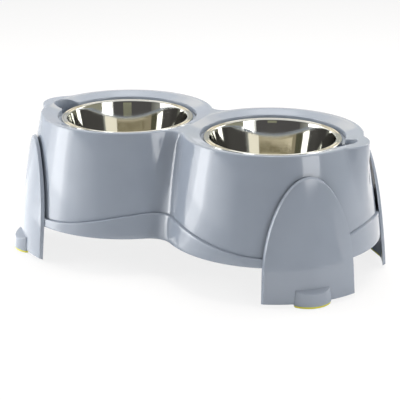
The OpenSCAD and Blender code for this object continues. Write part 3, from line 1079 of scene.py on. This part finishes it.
def whiteFloor():
    material, tree = newMaterial("matPaintedFloor")
    path = addNode(tree, "ShaderNodeLightPath").outputs
    lit = addNode(tree, "ShaderNodeBsdfDiffuse", {"Color": linearColour(studio["floor"])})
    plain = addNode(tree, "ShaderNodeEmission", {"Color": (1, 1, 1, 1), "Strength": 1.0})
    mixed = addNode(tree, "ShaderNodeMixShader", {
        0: maths(tree, "MULTIPLY", path["Is Camera Ray"], studio["floorLift"]), 1: lit, 2: plain})
    addNode(tree, "ShaderNodeOutputMaterial", {"Surface": mixed})
    return material


half = studio["floorSize"] / 2
floor = objectFrom("floor", [[[(-half, -half, 0), (half, -half, 0)], [(-half, half, 0), (half, half, 0)]]])
clad(floor.data, whiteFloor())

world = bpy.data.worlds.new("studio")
bpy.context.scene.world = world
world.use_nodes = True
tree = world.node_tree
tree.nodes.clear()
path = addNode(tree, "ShaderNodeLightPath").outputs
seen = maths(tree, "MAXIMUM", path["Is Camera Ray"], path["Is Glossy Ray"])
seen = maths(tree, "MAXIMUM", seen, path["Is Transmission Ray"])
strength = addNode(tree, "ShaderNodeMapRange", {"To Min": studio["fill"], "To Max": 1.0, "Value": seen})
sky = addNode(tree, "ShaderNodeBackground", {"Color": (1, 1, 1, 1), "Strength": strength})
addNode(tree, "ShaderNodeOutputWorld", {"Surface": sky})

# bearings are measured from the camera's side of the stand, anticlockwise seen from above
cameraBearing = math.degrees(math.atan2(view["eye"][1], view["eye"][0]))


def aimed(obj, target):
    obj.rotation_euler = (Vector(target) * mm - obj.location).to_track_quat("-Z", "Y").to_euler()


def softbox(name, bearing, distance, height, wide, tall, glow, colour="#FFFFFF"):
    lamp = bpy.data.lights.new(name, "AREA")
    lamp.shape = "RECTANGLE"
    lamp.size, lamp.size_y = wide * mm, tall * mm
    lamp.energy = glow * math.pi * lamp.size * lamp.size_y
    lamp.color = linearColour(colour)[:3]
    obj = addObject(name, lamp)
    x, y = onRing(distance, cameraBearing + bearing)
    obj.location = (x * mm, y * mm, height * mm)
    aimed(obj, (0, 0, studio["aimZ"]))
    obj.visible_camera = False
    return obj


onFloor = 0.0  # stands in for the distance of a card that lies on the floor


def cardPoint(bearing, end, reach, sag):  # end is a distance on the floor, and else a height in degrees
    if reach == onFloor:
        return onRing(end, cameraBearing + bearing) + (studio["floorCardZ"],)
    rise = math.radians(end - sag * (bearing - studio["sagMiddle"]) ** 2)
    z = max(studio["cardLowest"], stand["height"] + reach * math.tan(rise))
    return onRing(reach, cameraBearing + bearing) + (z,)


def card(name, bearings, span, colour, glows=(1.0, 1.0), reach=2600.0, sag=0.0):
    # a curved card that only shiny surfaces see; sag lowers it by the square of the turn off the back
    turns = spaced(*bearings, studio["cardSteps"])
    obj = objectFrom(name, [[[cardPoint(t, end, reach, sag) for t in turns] for end in span]])
    glow = obj.data.attributes.new("glow", "FLOAT", "POINT")  # graded from one bearing to the other
    slack = 5  # a first point a hair outside its end isn't a whole turn on
    for i, point in enumerate(obj.data.vertices):
        bearing = math.degrees(math.atan2(point.co.y, point.co.x)) - cameraBearing
        share = ((bearing - bearings[0] + slack) % 360 - slack) / (bearings[1] - bearings[0])
        glow.data[i].value = lerp(*glows, share)
    material, tree = newMaterial(name + "Cloth")
    level = addNode(tree, "ShaderNodeAttribute", attribute_name="glow").outputs["Fac"]
    light = addNode(tree, "ShaderNodeEmission", {"Color": linearColour(colour), "Strength": level})
    addNode(tree, "ShaderNodeOutputMaterial", {"Surface": light})
    clad(obj.data, material)
    for ray in ("camera", "diffuse", "shadow", "transmission"):
        setattr(obj, "visible_" + ray, False)


softbox("leftSoftbox", -98, 1900, 620, 1150, 1500, 7.0)
softbox("rightWindow", 43.8, 4200, 1260, 1600, 2000, 4.8)
softbox("rightFill", 112, 2500, 800, 1300, 1300, 3.0)
softbox("topSoftbox", 150, 600, 2000, 1700, 1700, 5.6, "#FFF9F2").visible_glossy = False

# the white surroundings at the left, which give the lobes their bright streaks and the left leg its light
white, near, even = "#FFFFFF", 1400.0, (1.0, 1.0)
dimmer = 0.64  # glow of a floor card as a share of the upright one that it runs up to
for name, bearings, top, glows in (("sideGlow", (-78.5, -71), 18, (7.6, 4.2)),
                                   ("softGlow", (-71, -57), 4, (3.9, 2.5)),
                                   ("faintGlow", (-57, -36), 4, (2.3, 0.25))):
    card(name, bearings, (-9, top), white, glows, near)
    card(name + "Floor", bearings, (260, near), white, [g * dimmer for g in glows], onFloor)
card("sideGrey", (-71, -52), (4, 18), "#B4B4AE", (1.0, 0.4), near)
card("sideWindow", (-95, -78.5), (-9, 18), white, (8.8, 10.6), near)
card("midGlow", (-108, -95), (-9, 18), white, (3.2, 5.8), near)
card("farGlow", (-128, -108), (-9, 18), white, (1.2, 2.2), near)
card("farPaper", (-178, -128), (-9, 18), white, (0.5, 1.2), near)
card("sideWindowFloor", (-95, -78.5), (520, near), white, (6.0, 6.8), onFloor)
card("midGlowFloor", (-108, -95), (520, near), white, (2.2, 4.4), onFloor)
card("farGlowFloor", (-128, -108), (520, near), white, (2.0, 2.2), onFloor)
card("nearFloor", (-128, -79), (230, 520), white, (1.7, 2.6), onFloor)
card("farPaperFloor", (-178, -128), (230, near), white, (0.6, 1.4), onFloor)
card("highPaper", (-130, -85), (18, 48), "#FFF8EC", (2.2, 2.2), near)
card("highFade", (-85, -75), (18, 48), "#F4F5F2", (1.2, 0.14), near)

# the dark and olive surroundings at the front and right, which the walls and the tops of the bowls show
card("darkFront", (-58, 30), (-4, 17), "#605E5F")
card("darkSill", (30, 54), (-4, 2.1), "#605E5F")
card("darkFloor", (-58, 60), (600, 2600), "#66625A", even, onFloor)
card("darkAbove", (-76, 30), (17, 48), "#6C6A6B")
card("oliveBoard", (-8, 9), (8.4, 12), "#A0A08A", even, 2500.0)
card("oliveWall", (54, 106), (-4, 17), "#A9A896")
card("oliveCorner", (58, 83), (17, 50), "#7D7B68")

# the bands behind the stand, which the bowls show below the crease in their reflection
cream, tan, brown, far, sag = "#EFE3CB", "#D8CBB0", "#A39776", 8000.0, 0.0004
card("tanEnd", (83, 98), (21, 50), tan, even, far)
card("tanShelf", (98, 232), (21, 31.6), cream, (1.8, 1.8), far, sag)
card("brownEnd", (98, 113), (31.6, 32.1), brown, even, far, sag)
card("tanCorner", (98, 113), (32.1, 35), tan, even, far, sag)
card("brownShelf", (113, 232), (31.6, 32.95), brown, even, far, sag)
card("tanCeiling", (113, 232), (32.95, 35), cream, (1.6, 1.6), far, sag)
card("greyCeiling", (98, 232), (35, 43.3), "#C4BFB0", even, far, sag)
card("ceilingLight", (150, 210), (43.6, 54), white, (2.1, 2.1), far)
card("oliveBackdrop", (110, 250), (6, 21), "#CCCCC2")
print("floor, world and softboxes set")

camera = bpy.data.cameras.new("camera")
camera.lens = view["lens"]
camera.sensor_width = view["sensor"]
camera.clip_end = 50.0
cameraObject = addObject("camera", camera)
cameraObject.location = [v * mm for v in view["eye"]]
aimed(cameraObject, view["aim"])
bpy.context.scene.camera = cameraObject
bpy.context.scene.view_settings.view_transform = "Standard"
